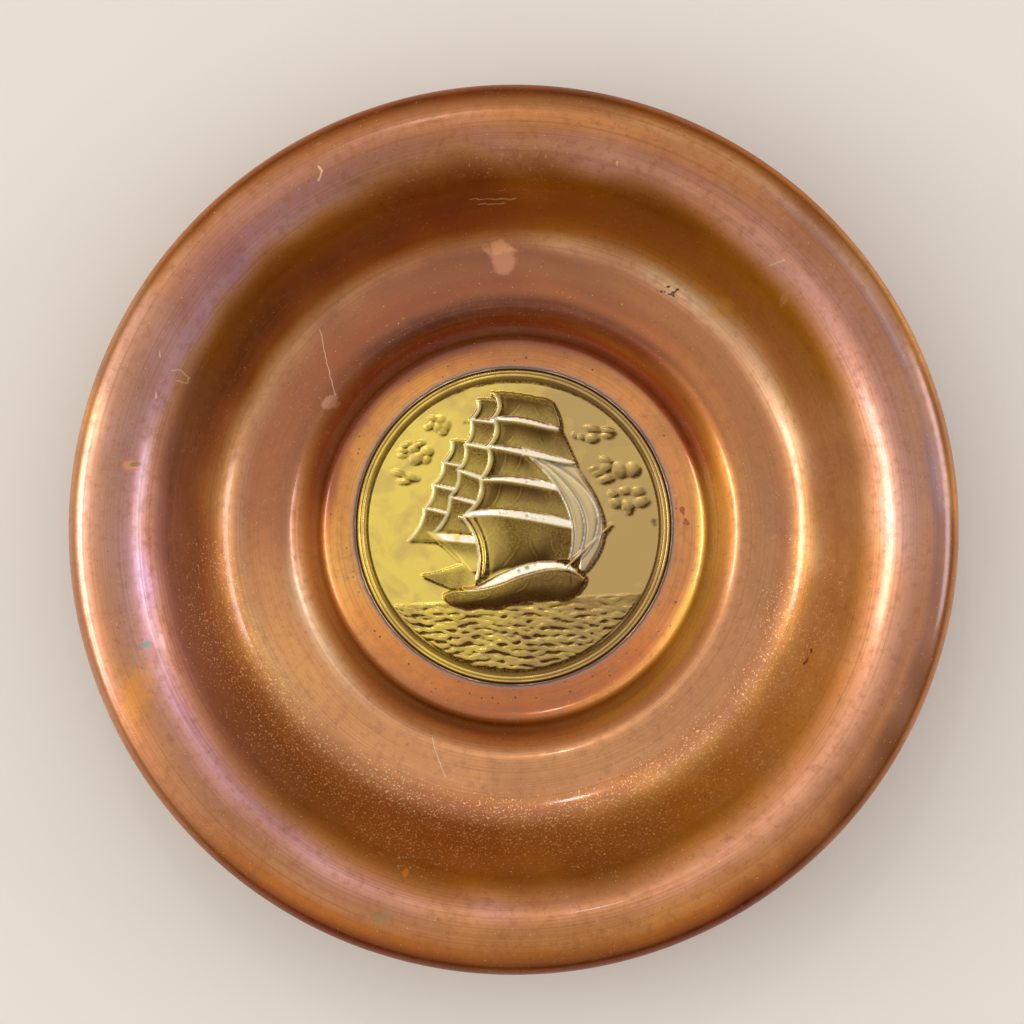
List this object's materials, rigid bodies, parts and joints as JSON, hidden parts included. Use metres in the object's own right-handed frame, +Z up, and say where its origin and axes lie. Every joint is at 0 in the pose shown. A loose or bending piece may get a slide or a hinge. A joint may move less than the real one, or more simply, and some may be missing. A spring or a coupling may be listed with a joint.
{
  "type": "decorative dish",
  "caption": "Round spun copper dish with a broad rolled rim and a stepped floor, holding a stamped brass disc with a sailing ship in relief.",
  "frame": {"origin": "on the dish's axis, at the underside of its flat floor", "axes": "+Z up along the dish's axis out of its open side, +Y the way the ship's masts point, +X the way its bow points"},
  "size_m": [0.3052, 0.3052, 0.0496],
  "materials": {
    "copper": "polished copper, lacquered, with fine spinning marks and light tarnish",
    "brass": "bright stamped brass, tarnished brown in the hollows"
  },
  "bodies": {
    "root": {"copper_dish": "copper", "brass_medallion": "brass"}
  },
  "joints": []
}
